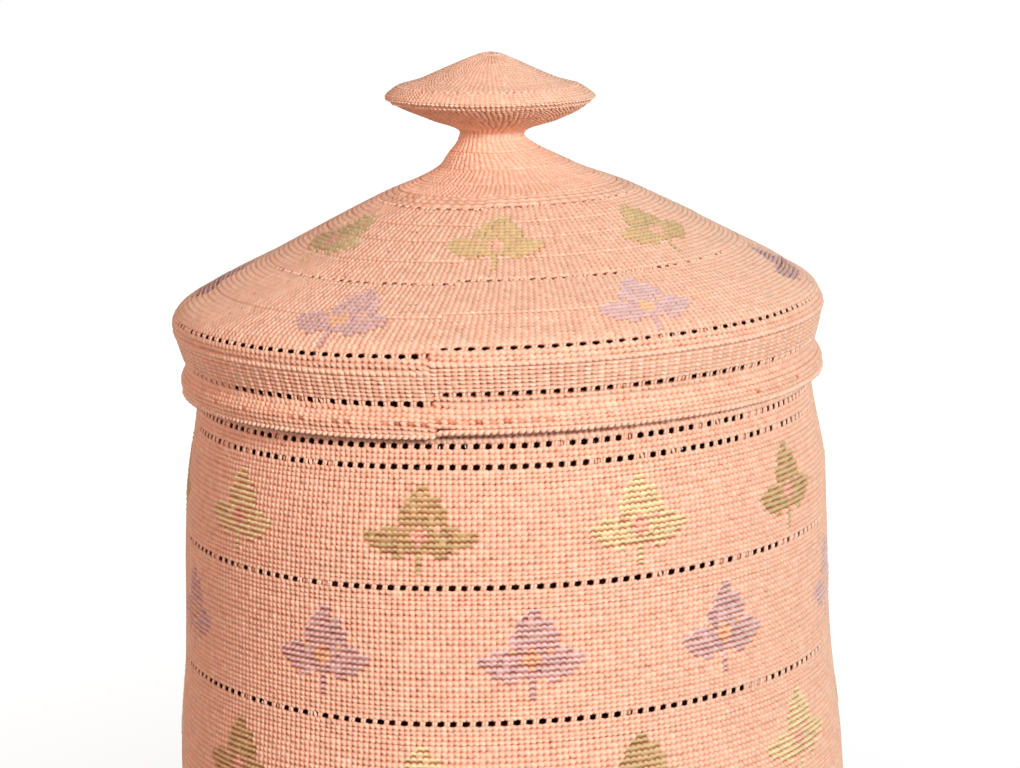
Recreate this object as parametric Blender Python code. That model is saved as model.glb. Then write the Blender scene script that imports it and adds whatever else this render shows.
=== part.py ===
"""Lidded twined grass basket.

Two woven pieces: a drum-shaped basket on a flat base, and a domed lid with a knob that drops over
the rim. Each is modelled as its woven sections, from the middle of the base up to the rim braid, and
from the lid's braided edge up to the tip of the knob. The origin is the middle of the underside.
Every section is a turned shell that follows one of two curves, written as radius and height.
"""

import math

import bmesh
import bpy
from mathutils import Vector

MM = 0.001

# The weave
WALL = 1.6 * MM
KNOB_WALL = 1.2 * MM
JOIN_GAP = 0.3 * MM
OPEN_ROW_HEIGHT = 1.8 * MM
OPEN_ROW_HOOP = 0.5 * MM
BRAID_HEIGHT = 1.8 * MM
BRAID_CHAMFER = 0.4 * MM

# Heights of the basket's plain bands, from the base turn up to the rim
TURN_HEIGHT = 7.0 * MM
BAND_FOUR_HEIGHT = 22.8 * MM
BAND_THREE_HEIGHT = 25.9 * MM
BAND_TWO_HEIGHT = 25.9 * MM
BAND_ONE_HEIGHT = 22.4 * MM
NECK_BAND_HEIGHT = 2.3 * MM
RIM_BAND_HEIGHT = 4.6 * MM

# The rim's outer radius, and how far each level below it stands out past the one above
RIM_RADIUS = 66.4 * MM
ROW_NOUGHT_SWELL = 0.9 * MM
ROW_ONE_SWELL = 0.6 * MM
SHOULDER_SWELL = 2.4 * MM
ROW_TWO_SWELL = 0.6 * MM
ROW_THREE_SWELL = 0.9 * MM
ROW_FOUR_SWELL = 2.3 * MM
ROW_FIVE_SWELL = -1.0 * MM
TURN_REACH = 9.1 * MM
SHOULDER_HEIGHT_SHARE = 0.45

# The rim braid and the lid's seat on it
RIM_BRAID_WIDTH = 2.2 * MM
RIM_BRAID_PROUD = 0.7 * MM
LID_CLEARANCE = 0.3 * MM
SEAT_GAP = 0.3 * MM
SEAT_OVERLAP = 1.0 * MM

# The lid's skirt: drops below the rim's top, steps up from it, and how far it stands out
SKIRT_DROP = 5.2 * MM
SKIRT_BULGE_DROP = 3.6 * MM
SKIRT_BULGE_SWELL = 1.4 * MM
WAIST_STEP = 1.3 * MM
WAIST_TOP_STEP = 0.5 * MM
SKIRT_ROW_STEP = 1.5 * MM
SKIRT_ROW_SWELL = 0.4 * MM
RIDGE_STEP = 6.0 * MM
RIDGE_SWELL = 1.3 * MM
RIDGE_CORD_DIAMETER = 2.1 * MM
BRIM_STEP = 1.3 * MM
BRIM_SWELL = 0.5 * MM

# The lid's crown: steps up and in from one level to the next
BRIM_ROW_STEP = 2.2 * MM
BRIM_ROW_INSET = 0.9 * MM
CROWN_SHOULDER_STEP = 4.9 * MM
CROWN_SHOULDER_INSET = 6.9 * MM
CROWN_ROW_STEP = 6.2 * MM
CROWN_ROW_INSET = 11.9 * MM
PEAK_ROW_STEP = 12.0 * MM
PEAK_ROW_INSET = 23.4 * MM
PEAK_FOOT_STEP = 6.9 * MM
PEAK_FOOT_RADIUS = 13.1 * MM
NECK_STEP = 5.8 * MM
NECK_RADIUS = 7.3 * MM

# The knob
KNOB_UNDER_STEP = 3.2 * MM
KNOB_UNDER_SWELL = 7.3 * MM
KNOB_EDGE_STEP = 3.5 * MM
KNOB_EDGE_HALF_HEIGHT = 1.4 * MM
KNOB_EDGE_RADIUS = 22.8 * MM
KNOB_EDGE_DRAW_IN = 1.4 * MM
KNOB_RING_WIDTH = 3.6 * MM
KNOB_SLOPE_STEP = 2.4 * MM
KNOB_SLOPE_RADIUS = 14.8 * MM
KNOB_TOP_STEP = 2.2 * MM
KNOB_TOP_RADIUS = 9.6 * MM
KNOB_TIP_STEP = 2.8 * MM
KNOB_TIP_RADIUS = 3.1 * MM
KNOB_APEX_STEP = 0.8 * MM

# Counts of straight sides round each turn, and of windows in an openwork row
WALL_SIDES = 36
CROWN_SIDES = 32
KNOB_SIDES = 24
NECK_SIDES = 16
WALL_WINDOWS = 35
LID_WINDOWS = 30
CROWN_WINDOWS = 24
PEAK_WINDOWS = 15
BAR_SHARE = 0.5
BAR_LEAN_SHARE = 0.12
CURVE_STEPS = 24
TURN_STEPS = 3
CORD_SIDES = 6

GRASS = (0.79, 0.41, 0.27)
BRAID = (0.82, 0.46, 0.31)
GRASS_ROUGHNESS = 0.62


def clear_scene():
    """Remove whatever the start-up scene holds."""
    for thing in list(bpy.data.objects):
        bpy.data.objects.remove(thing, do_unlink=True)


def make_material(name, colour):
    """A plain dry-grass finish in one colour."""
    material = bpy.data.materials.new(name)
    material.use_nodes = True
    shader = material.node_tree.nodes["Principled BSDF"]
    shader.inputs["Base Color"].default_value = (*colour, 1)
    shader.inputs["Roughness"].default_value = GRASS_ROUGHNESS
    shader.inputs["Metallic"].default_value = 0
    return material


class Outline:
    """A smooth curve through stations of (radius, height), measured by its length."""

    def __init__(self, stations):
        points = [Vector(station) for station in stations]
        chords = [(b - a).length for a, b in zip(points, points[1:])]
        slopes = [(b - a) / chord for a, b, chord in zip(points, points[1:], chords)]
        tangents = [slopes[0]]
        for before, after, low, high in zip(chords, chords[1:], slopes, slopes[1:]):
            tangents.append((low * after + high * before) / (before + after))
        tangents.append(slopes[-1])
        self.points = [points[0]]
        self.lengths = [0]
        self.marks = [0]
        for index, chord in enumerate(chords):
            for step in range(1, CURVE_STEPS + 1):
                share = step / CURVE_STEPS
                point = hermite(points[index], points[index + 1],
                                tangents[index] * chord, tangents[index + 1] * chord, share)
                self.lengths.append(self.lengths[-1] + (point - self.points[-1]).length)
                self.points.append(point)
            self.marks.append(self.lengths[-1])

    def at(self, length):
        """The point that lies a given length along the curve."""
        for index in range(1, len(self.points)):
            if self.lengths[index] >= length or index == len(self.points) - 1:
                span = self.lengths[index] - self.lengths[index - 1]
                share = (length - self.lengths[index - 1]) / span
                return self.points[index - 1].lerp(self.points[index], share)

    def inward(self, length):
        """The unit vector that points to the hollow side at a given length."""
        reach = self.lengths[-1] / len(self.lengths)
        before = self.at(max(length - reach, 0))
        after = self.at(min(length + reach, self.lengths[-1]))
        along = (after - before).normalized()
        return Vector((-along.y, along.x))

    def shell(self, start, stop, steps, inner_steps, thickness):
        """The closed section of a shell between two lengths, outer side first."""
        start += JOIN_GAP / 2
        stop -= JOIN_GAP / 2
        outer = [start + (stop - start) * step / steps for step in range(steps + 1)]
        inner = [stop + (start - stop) * step / inner_steps for step in range(inner_steps + 1)]
        profile = [self.at(length) for length in outer]
        profile += [self.at(length) + self.inward(length) * thickness for length in inner]
        return profile


def hermite(start, stop, leaving, arriving, share):
    """A point on the cubic between two points with the given tangents."""
    square = share * share
    cube = square * share
    return (start * (2 * cube - 3 * square + 1) + leaving * (cube - 2 * square + share)
            + stop * (3 * square - 2 * cube) + arriving * (cube - square))


def place_mesh(name, bm, material, parent):
    """Finish a bmesh as a named object on its parent."""
    bmesh.ops.remove_doubles(bm, verts=bm.verts, dist=JOIN_GAP / 100)
    bmesh.ops.recalc_face_normals(bm, faces=bm.faces)
    mesh = bpy.data.meshes.new(name)
    bm.to_mesh(mesh)
    bm.free()
    mesh.materials.append(material)
    mesh.shade_smooth()
    mesh.set_sharp_from_angle(angle=math.radians(35))
    thing = bpy.data.objects.new(name, mesh)
    bpy.context.scene.collection.objects.link(thing)
    thing.parent = parent


def turned(name, profile, sides, material, parent=None):
    """Spin a closed section of (radius, height) points round the upright axis."""
    bm = bmesh.new()
    corners = [bm.verts.new((point.x, 0, point.y)) for point in profile]
    closing = corners[1:] + corners[:1]
    edges = [bm.edges.new(pair) for pair in zip(corners, closing) if not on_axis(pair)]
    bmesh.ops.spin(bm, geom=corners + edges, cent=(0, 0, 0), axis=(0, 0, 1),
                   angle=math.tau, steps=sides, use_merge=True)
    place_mesh(name, bm, material, parent)


def on_axis(pair):
    """True for an edge that lies on the axis of the turn."""
    return max(corner.co.x for corner in pair) < JOIN_GAP / 100


def openwork_row(name, outline, start, stop, windows, material, parent=None):
    """A pierced row: a thin hoop that carries leaning bars, with a window between each two."""
    start += JOIN_GAP / 2
    stop -= JOIN_GAP / 2
    levels = (start, start + OPEN_ROW_HOOP, stop)
    outer = [outline.at(length) for length in levels]
    inner = [outline.at(length) + outline.inward(length) * WALL for length in levels]
    pitch = math.tau / windows
    bm = bmesh.new()

    def corner(point, angle):
        return bm.verts.new((point.x * math.cos(angle), point.x * math.sin(angle), point.y))

    ring = []
    for window in range(windows):
        first = window * pitch
        second = first + pitch * BAR_SHARE
        lean = pitch * BAR_LEAN_SHARE
        ring.append({side: [corner(points[0], first), corner(points[1], first),
                            corner(points[1], second), corner(points[2], first + lean),
                            corner(points[2], second + lean)]
                     for side, points in (("outer", outer), ("inner", inner))})
    for here, after in zip(ring, ring[1:] + ring[:1]):
        foot, left, right, top_left, top_right = here["outer"]
        in_foot, in_left, in_right, in_top_left, in_top_right = here["inner"]
        next_foot, next_left = after["outer"][:2]
        in_next_foot, in_next_left = after["inner"][:2]
        bm.faces.new((foot, in_foot, in_next_foot, next_foot))
        bm.faces.new((foot, next_foot, next_left, right))
        bm.faces.new((foot, right, left))
        bm.faces.new((in_foot, in_right, in_next_left, in_next_foot))
        bm.faces.new((in_foot, in_left, in_right))
        bm.faces.new((right, next_left, in_next_left, in_right))
        bm.faces.new((left, right, top_right, top_left))
        bm.faces.new((in_left, in_top_left, in_top_right, in_right))
        bm.faces.new((left, top_left, in_top_left, in_left))
        bm.faces.new((right, in_right, in_top_right, top_right))
        bm.faces.new((top_left, top_right, in_top_right, in_top_left))
    place_mesh(name, bm, material, parent)


def braid_section(low, high, inner_radius, outer_radius):
    """A bar-shaped section with its four corners cut off."""
    cut = BRAID_CHAMFER
    return [Vector(point) for point in (
        (outer_radius - cut, low), (outer_radius, low + cut), (outer_radius, high - cut),
        (outer_radius - cut, high), (inner_radius + cut, high), (inner_radius, high - cut),
        (inner_radius, low + cut), (inner_radius + cut, low))]


def cord_section(centre, diameter):
    """The many-sided section of a round cord."""
    corners = []
    for side in range(CORD_SIDES):
        angle = math.tau * (side + 0.5) / CORD_SIDES
        corners.append(centre + Vector((math.cos(angle), math.sin(angle))) * diameter / 2)
    return corners


def basket_heights():
    """Middle height of each openwork row, the foot of the rim band and the top of the rim."""
    heights = {}
    level = TURN_HEIGHT
    bands = (("five", BAND_FOUR_HEIGHT), ("four", BAND_THREE_HEIGHT), ("three", BAND_TWO_HEIGHT),
             ("two", BAND_ONE_HEIGHT), ("one", NECK_BAND_HEIGHT), ("nought", RIM_BAND_HEIGHT))
    for row, band_above in bands:
        heights[row] = level + OPEN_ROW_HEIGHT / 2
        level += OPEN_ROW_HEIGHT + band_above
    heights["rim_foot"] = level
    heights["rim_top"] = level + BRAID_HEIGHT
    return heights


def basket_outline(heights):
    """The basket's outer curve up to the rim braid, the length at each level, and the base's radius."""
    levels = dict(heights)
    levels["shoulder"] = (heights["two"] + OPEN_ROW_HEIGHT / 2
                          + BAND_ONE_HEIGHT * SHOULDER_HEIGHT_SHARE)
    radius = RIM_RADIUS
    stations = [("rim_foot", radius)]
    for name, swell in (("nought", ROW_NOUGHT_SWELL), ("one", ROW_ONE_SWELL),
                        ("shoulder", SHOULDER_SWELL), ("two", ROW_TWO_SWELL),
                        ("three", ROW_THREE_SWELL), ("four", ROW_FOUR_SWELL),
                        ("five", ROW_FIVE_SWELL)):
        radius += swell
        stations.insert(0, (name, radius))
    flat_radius = radius - TURN_REACH
    turn = []
    for step in range(TURN_STEPS):
        angle = math.radians(90) * step / TURN_STEPS
        turn.append((flat_radius + TURN_REACH * math.sin(angle),
                     TURN_HEIGHT * (1 - math.cos(angle))))
    outline = Outline(turn + [(radius, levels[name]) for name, radius in stations])
    mark = {station[0]: length for station, length in zip(stations, outline.marks[TURN_STEPS:])}
    return outline, mark, flat_radius


def build_basket(heights, grass, braid):
    """The basket: base, turn, four flowered bands, the narrow bands and the rim."""
    outline, mark, flat_radius = basket_outline(heights)
    base_radius = flat_radius - JOIN_GAP
    base = [Vector(point) for point in ((0, 0), (base_radius, 0), (base_radius, WALL), (0, WALL))]
    turned("base_disc", base, WALL_SIDES, grass)

    half = OPEN_ROW_HEIGHT / 2
    sections = (("base_turn", 0, mark["five"] - half, 4, 3),
                ("wall_band_four", mark["five"] + half, mark["four"] - half, 2, 2),
                ("wall_band_three", mark["four"] + half, mark["three"] - half, 2, 2),
                ("wall_band_two", mark["three"] + half, mark["two"] - half, 1, 1),
                ("wall_band_one", mark["two"] + half, mark["one"] - half, 3, 2),
                ("neck_band", mark["one"] + half, mark["nought"] - half, 1, 1),
                ("rim_band", mark["nought"] + half, mark["rim_foot"], 1, 1))
    for name, start, stop, steps, inner_steps in sections:
        profile = outline.shell(start, stop, steps, inner_steps, WALL)
        turned(name, profile, WALL_SIDES, grass)
    for row in ("five", "four", "three", "two", "one", "nought"):
        openwork_row("openwork_row_" + row, outline, mark[row] - half, mark[row] + half,
                     WALL_WINDOWS, grass)

    outer = RIM_RADIUS + RIM_BRAID_PROUD
    rim = braid_section(heights["rim_foot"] + JOIN_GAP / 2, heights["rim_top"],
                        outer - RIM_BRAID_WIDTH, outer)
    turned("rim_braid", rim, WALL_SIDES, braid)


def lid_outline():
    """The lid's outer curve, with heights above the rim's top, and the length at each level."""
    waist = RIM_RADIUS + RIM_BRAID_PROUD + LID_CLEARANCE + WALL
    bulge = waist + SKIRT_BULGE_SWELL
    stations = [("edge", bulge, -SKIRT_DROP), ("bulge", bulge, -SKIRT_BULGE_DROP)]
    radius = waist
    rise = WAIST_STEP
    stations.append(("waist", radius, rise))
    for name, swell, step in (("skirt_row", SKIRT_ROW_SWELL, SKIRT_ROW_STEP),
                              ("ridge", RIDGE_SWELL, RIDGE_STEP),
                              ("brim", BRIM_SWELL, BRIM_STEP),
                              ("brim_row", -BRIM_ROW_INSET, BRIM_ROW_STEP),
                              ("shoulder", -CROWN_SHOULDER_INSET, CROWN_SHOULDER_STEP),
                              ("crown_row", -CROWN_ROW_INSET, CROWN_ROW_STEP),
                              ("peak_row", -PEAK_ROW_INSET, PEAK_ROW_STEP)):
        radius += swell
        rise += step
        stations.append((name, radius, rise))
    edge_shoulder = KNOB_EDGE_RADIUS - KNOB_EDGE_DRAW_IN
    for name, radius, step in (("peak_foot", PEAK_FOOT_RADIUS, PEAK_FOOT_STEP),
                               ("neck", NECK_RADIUS, NECK_STEP),
                               ("knob_under", NECK_RADIUS + KNOB_UNDER_SWELL, KNOB_UNDER_STEP),
                               ("low_edge", edge_shoulder, KNOB_EDGE_STEP),
                               ("knob_edge", KNOB_EDGE_RADIUS, KNOB_EDGE_HALF_HEIGHT),
                               ("high_edge", edge_shoulder, KNOB_EDGE_HALF_HEIGHT),
                               ("knob_slope", KNOB_SLOPE_RADIUS, KNOB_SLOPE_STEP),
                               ("knob_top", KNOB_TOP_RADIUS, KNOB_TOP_STEP),
                               ("knob_tip", KNOB_TIP_RADIUS, KNOB_TIP_STEP),
                               ("apex", 0, KNOB_APEX_STEP)):
        rise += step
        stations.append((name, radius, rise))
    outline = Outline([station[1:] for station in stations])
    mark = {station[0]: length for station, length in zip(stations, outline.marks)}
    return outline, mark


def build_lid(rim_top, grass, braid):
    """The lid, on an empty at the rim's top, which the lid's slide moves along the axis."""
    lid = bpy.data.objects.new("lid", None)
    bpy.context.scene.collection.objects.link(lid)
    lid.location.z = rim_top
    outline, mark = lid_outline()
    build_skirt(outline, mark, lid, grass, braid)
    build_crown(outline, mark, lid, grass)
    build_knob(outline, mark, lid, grass, braid)


def build_skirt(outline, mark, lid, grass, braid):
    """The part of the lid that drops over the rim, up to the brim's openwork row."""
    half = OPEN_ROW_HEIGHT / 2
    cord_reach = RIDGE_CORD_DIAMETER / 2 + JOIN_GAP / 2
    braid_top = mark["edge"] + BRAID_HEIGHT
    seat = mark["waist"] - (WAIST_STEP - SEAT_GAP)
    waist_top = mark["waist"] + WAIST_TOP_STEP
    edge_radius = outline.at(0).x
    edge = braid_section(-SKIRT_DROP, -SKIRT_DROP + BRAID_HEIGHT - JOIN_GAP / 2,
                         edge_radius - WALL, edge_radius)
    turned("lid_edge_braid", edge, WALL_SIDES, braid, lid)
    turned("lid_skirt_lower", outline.shell(braid_top, seat, 2, 1, WALL), WALL_SIDES, grass, lid)

    ledge = RIM_RADIUS + RIM_BRAID_PROUD - SEAT_OVERLAP
    foot = outline.at(seat)
    top = outline.at(waist_top - JOIN_GAP / 2)
    waist = [Vector((foot.x, SEAT_GAP)), outline.at(mark["waist"]), top,
             Vector((ledge, top.y)), Vector((ledge, SEAT_GAP))]
    turned("lid_waist", waist, WALL_SIDES, grass, lid)
    openwork_row("openwork_row_skirt", outline, mark["skirt_row"] - half,
                 mark["skirt_row"] + half, LID_WINDOWS, grass, lid)
    upper = outline.shell(mark["skirt_row"] + half, mark["ridge"] - cord_reach, 1, 1, WALL)
    turned("lid_skirt_upper", upper, WALL_SIDES, grass, lid)

    centre = outline.at(mark["ridge"]) + outline.inward(mark["ridge"]) * WALL / 2
    turned("lid_ridge_cord", cord_section(centre, RIDGE_CORD_DIAMETER), WALL_SIDES, braid, lid)
    shoulder = outline.shell(mark["ridge"] + cord_reach, mark["brim_row"] - half, 2, 1, WALL)
    turned("lid_shoulder", shoulder, WALL_SIDES, grass, lid)


def build_crown(outline, mark, lid, grass):
    """The dome, from the brim's openwork row to the foot of the knob's neck."""
    half = OPEN_ROW_HEIGHT / 2
    for name, station, windows in (("openwork_row_brim", "brim_row", LID_WINDOWS),
                                   ("openwork_row_crown", "crown_row", CROWN_WINDOWS),
                                   ("openwork_row_peak", "peak_row", PEAK_WINDOWS)):
        openwork_row(name, outline, mark[station] - half, mark[station] + half, windows,
                     grass, lid)
    lower = outline.shell(mark["brim_row"] + half, mark["crown_row"] - half, 4, 3, WALL)
    turned("crown_band_lower", lower, WALL_SIDES, grass, lid)
    upper = outline.shell(mark["crown_row"] + half, mark["peak_row"] - half, 3, 2, WALL)
    turned("crown_band_upper", upper, CROWN_SIDES, grass, lid)
    peak = outline.shell(mark["peak_row"] + half, neck_foot(mark), 4, 3, WALL)
    turned("crown_peak", peak, KNOB_SIDES, grass, lid)


def neck_foot(mark):
    """The length at which the neck leaves the crown."""
    return (mark["peak_foot"] + mark["neck"]) / 2


def build_knob(outline, mark, lid, grass, braid):
    """The hollow knob on its neck, with a raised ring round its edge."""
    neck_top = (mark["neck"] + mark["knob_under"]) / 2
    neck = outline.shell(neck_foot(mark), neck_top, 4, 3, KNOB_WALL)
    turned("knob_neck", neck, NECK_SIDES, grass, lid)
    ring_start = mark["knob_edge"] - KNOB_RING_WIDTH
    ring_stop = mark["knob_edge"] + KNOB_RING_WIDTH
    underside = outline.shell(neck_top, ring_start, 3, 2, KNOB_WALL)
    turned("knob_underside", underside, KNOB_SIDES, grass, lid)
    ring = outline.shell(ring_start, ring_stop, 6, 1, KNOB_WALL)
    turned("knob_edge", ring, KNOB_SIDES, braid, lid)
    steps = 4
    top = outline.shell(ring_stop, mark["apex"] + JOIN_GAP / 2, steps, steps - 1, KNOB_WALL)
    for point in top[steps:steps + 2]:
        point.x = 0
    turned("knob_top", top, KNOB_SIDES, grass, lid)


def main():
    clear_scene()
    grass = make_material("twined_grass", GRASS)
    braid = make_material("braided_grass", BRAID)
    heights = basket_heights()
    build_basket(heights, grass, braid)
    build_lid(heights["rim_top"], grass, braid)
    bpy.context.view_layer.update()


main()
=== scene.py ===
"""Looks of a lidded twined grass basket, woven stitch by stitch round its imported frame.

Both bodies are turned surfaces, so a place on either is written as an azimuth (0 faces the camera,
positive to the viewer's right), a length along its outline and a depth below its surface. Walls are
grids of stitches wrapped onto that surface; openwork, ridge and braids are rows of separate strands.
"""

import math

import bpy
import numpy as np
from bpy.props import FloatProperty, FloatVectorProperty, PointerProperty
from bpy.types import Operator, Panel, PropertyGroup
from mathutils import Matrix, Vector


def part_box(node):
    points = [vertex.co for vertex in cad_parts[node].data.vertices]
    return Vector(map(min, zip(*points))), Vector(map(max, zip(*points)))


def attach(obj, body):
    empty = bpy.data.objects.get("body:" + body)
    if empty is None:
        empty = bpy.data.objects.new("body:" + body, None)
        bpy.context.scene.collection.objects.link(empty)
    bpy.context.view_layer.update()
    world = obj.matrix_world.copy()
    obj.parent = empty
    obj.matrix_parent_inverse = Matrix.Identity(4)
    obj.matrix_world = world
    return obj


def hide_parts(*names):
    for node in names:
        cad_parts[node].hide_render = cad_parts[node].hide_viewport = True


bl_info = {
    "name": "Lidded twined basket",
    "version": (1, 0, 0),
    "blender": (4, 5, 0),
    "location": "View3D > Sidebar > Basket",
    "description": "Weaves the basket and its lid round the frame and sets up the studio",
    "category": "Object",
}

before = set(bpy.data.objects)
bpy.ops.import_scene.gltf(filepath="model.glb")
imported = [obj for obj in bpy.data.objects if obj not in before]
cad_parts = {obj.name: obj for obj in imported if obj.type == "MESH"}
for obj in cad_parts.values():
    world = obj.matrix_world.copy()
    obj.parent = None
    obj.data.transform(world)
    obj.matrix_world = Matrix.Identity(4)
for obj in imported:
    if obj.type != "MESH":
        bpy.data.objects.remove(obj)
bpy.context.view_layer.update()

MM = 0.001
FULL_TURN = 2 * math.pi

# The wall bands: their courses, and how many of those above the flowers are plain
COURSES = {"wall_band_four": 21, "wall_band_three": 24, "wall_band_two": 24, "wall_band_one": 21}
PLAIN_ABOVE = {"wall_band_four": 3, "wall_band_three": 4, "wall_band_two": 4, "wall_band_one": 3}
# The courses where flowers lie that are taller than plain ones, and by how much
FLOWER_COURSES = 15
FLOWER_RISE = 1.2
BODY_ROWS = ("five", "four", "three", "two", "one", "nought")

# Stitches round each part
WALL_COLUMNS = 350
SKIRT_COLUMNS = 316
CROWN_COLUMNS = 292
PEAK_COLUMNS = 140
KNOB_COLUMNS = 128
# Rings with fewer and fewer stitches towards the middle: for the base where each starts, in
# millimetres, and for the crown how many courses it has, both with the stitches round
BASE_RINGS = ((0, 24), (6, 48), (14, 88), (26, 132), (43, 192))
LOWER_RINGS = ((9, SKIRT_COLUMNS), (10, CROWN_COLUMNS))
UPPER_RINGS = ((6, 246), (6, 212), (5, 180), (5, 150))
# How many courses lower each course of the lid ends than it starts
SKIRT_JOG = 2
CROWN_JOG = 1

# The basket's underside: how far it stands off the floor in its middle, half way out and near its edge
MIDDLE_LIFT = 0.4 * MM
HALF_WAY_LIFT = 0.3 * MM
NEAR_EDGE_LIFT = 0.1 * MM
NEAR_EDGE = 6 * MM
# The fullest part of the wall above openwork row two, and how far the wall draws in below the rim
SHOULDER_RADIUS = 70.3 * MM
SHOULDER_RISE = 10.1 * MM
RIM_DRAW = 0.4 * MM

# The lid's outline: radius and rise above the rim's top, in millimetres
LID_STATIONS = (
    ("hem", 69.2, -7.2), ("edge", 69.8, -5.2), ("bulge", 70.35, -2.4), ("waist", 69.0, 1.3),
    ("skirt_row", 69.3, 2.4), ("ridge", 70.95, 8.8), ("brim", 71.2, 10.1), ("brim_row", 70.3, 12.3),
    ("shoulder", 63.4, 17.2), ("crown_row", 51.5, 23.4), ("peak_row", 28.1, 35.4),
    ("peak_foot", 13.1, 42.3), ("neck", 7.1, 48.1), ("knob_under", 14.6, 51.3),
    ("low_edge", 21.4, 54.8), ("knob_edge", 22.8, 56.2), ("high_edge", 21.4, 57.6),
    ("knob_slope", 14.9, 60.0), ("knob_top", 9.8, 62.2), ("knob_tip", 4.0, 64.7),
    ("round", 1.7, 65.5), ("apex", 0.0, 65.7))

# The slow waves of the courses: how many in a turn, height, phase and drift for each millimetre up.
# They fade out in the last stretch before an outline's ends
BASKET_WAVES = ((2, 0.10, 0.4, 0.02), (3, 0.14, 1.9, 0.03), (5, 0.09, 0.7, 0.05), (8, 0.05, 2.6, 0.04))
LID_WAVES = ((3, 0.07, 1.2, 0.02), (5, 0.06, 0.3, 0.05), (9, 0.04, 2.2, 0.03))
WAVE_FADE = 2 * MM
# Points along the curve between two stations of an outline
CURVE_POINTS = 41

# The lid's courses wind down in one long spiral that starts and ends at the jog. How far they drop in
# a turn, the share of a turn in which a plain ring evens the drop out, and in how many quarter
# stitches the two ends of a spiral are eased together
LID_DROPS = (("edge", 0.8), ("skirt_row", 1.9), ("ridge", 1.8), ("brim_row", 1.6),
             ("crown_row", 1.1), ("peak_row", 0.9), ("peak_foot", 0.0))
JOG_AZIMUTH = math.radians(-11.3)
EVENING_SHARE = 0.005
EASING = 20

# How far each body's middle strays to the viewer's right, in millimetres: the basket's by height, the
# lid's by rise above the rim
BASKET_LEAN = ((0, -0.6), (20, -1.1), (45, -1.3), (65, -1.0), (88, -0.4), (100, 0.1), (124, 0.3))
LID_LEAN = ((-5.0, 0.0), (3.0, -0.4), (9.0, -0.5), (12.0, -0.6), (17.0, 0.3), (23.0, 1.5), (30.0, 2.2),
            (38.0, 3.0), (41.5, 2.4), (44.5, 0.5), (47.5, -0.4), (50.0, 0.6), (52.5, 0.5), (55.0, -0.3),
            (58.0, -0.5), (62.0, -0.4), (66.0, 0.2))
# How much the knob sags to the viewer's right, as a slope by rise above the rim
KNOB_SAG = ((45.0, 0), (51.0, -0.030))

# One stitch: where its vertices lie across and up it
ACROSS = np.array((0, 0.20, 0.5, 0.80))
UP = np.array((0, 0.30, 0.70))
PARTS = len(ACROSS)
LEVELS = len(UP)
# The kinds of stitch: plain, overlaid with a dyed strand, across a shut hole, beaded as on the dome, and
# pricked as round the top of the knob. Then how deep each one's vertices lie, in millimetres
PLAIN, OVERLAID, CLOSED, BEADED, PRICKED = range(5)
RELIEF = np.array((
    ((0.98, 0.54, 0.42, 0.56), (0.36, 0.14, 0.03, 0.09), (0.30, 0.09, 0.03, 0.15)),
    ((0.98, 0.88, 0.72, 0.84), (0.52, 0.36, 0.18, 0.34), (0.02, -0.08, -0.16, -0.06)),
    ((0.98, 0.74, 0.66, 0.80), (0.72, 0.54, 0.48, 0.66), (0.64, 0.50, 0.45, 0.60)),
    ((0.54, 0.27, 0.20, 0.29), (0.38, 0.12, 0.02, 0.10), (0.35, 0.10, 0.02, 0.13)),
    ((1.10, 0.74, 0.46, 0.74), (0.52, 0.10, -0.08, 0.10), (0.44, 0.08, -0.08, 0.12))))
# How far the vertices rise, in shares of the course: in slanted stitches, for a tilt of 1, and in
# overlaid ones
SLANT = np.array(((0, 1, 0, -1),) * LEVELS)
OVERLAY = np.array(((-0.24, 0.00, 0.16, 0.02), (-0.20, 0.02, 0.17, 0.02),
                    (-0.13, 0.03, 0.13, 0.02)))

# The depth at which a groove's painted shade is darkest, and how much painted shade the inner faces get
# all over
DEEPEST = 0.90 * MM
INNER_GROOVE = 0.4

# How unlike its neighbours a stitch is: in depth, rise, place and dye, and in colour inside
DEPTH_SPREAD = 0.16
RISE_SPREAD = 0.035
SWAY_SPREAD = 0.05
DYE_SPREAD = 0.05
INNER_SPREAD = 0.06
# A course's own waves: the least in a turn, and what they stay below. Then, in shares of a course, how
# high they are, an edge's scallops, and how far an edge curves round holes
WAVES_IN_TURN = (2, 11)
COURSE_WAVE = 0.07
SCALLOP = 0.09
HOLE_CURVE = 0.13

# A free edge's depth, and what is added between stitches; the share of its depth that a joined edge
# keeps; and, for the inner face, where it stops short of an edge, the share of the wall left there
# and its ripple
EDGE_DEPTH = 0.38 * MM
EDGE_NOTCH = 0.1 * MM
JOINED_SHARE = 0.75
INNER_STOP = 0.15 * MM
THIN_SHARE = 0.75
INNER_RIPPLE = 0.06 * MM
# The tails of a spiral that tuck under its other end: their length in stitches, and how deep they lie
TAIL_LENGTH = 0.4
TAIL_DEPTH = 0.3 * MM

# The two front strands of an openwork row's bar: where each starts and ends, in shares of the gap
LEANING_SHARES = ((-0.19, -0.04), (0.01, 0.19))
WIDE_SHARES = ((-0.24, -0.15), (0.01, 0.22))
SPREADING_SHARES = ((-0.06, -0.21), (0.06, 0.21))
# How far a bar's strands reach past the holes, their depths from tip to tip, and how much deeper the
# first one lies, the third, one that fills a hole, and the two that close a hole at the back
BAR_REACH = 0.55 * MM
BAR_DEPTHS = np.array((0.95, 0.42, 0.32, 0.42, 0.95)) * MM
FIRST_DEPTH = 0.06 * MM
THIRD_DEPTH = 0.35 * MM
FILLER_DEPTH = 0.05 * MM
CLOSER_DEPTH = 0.45 * MM
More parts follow.
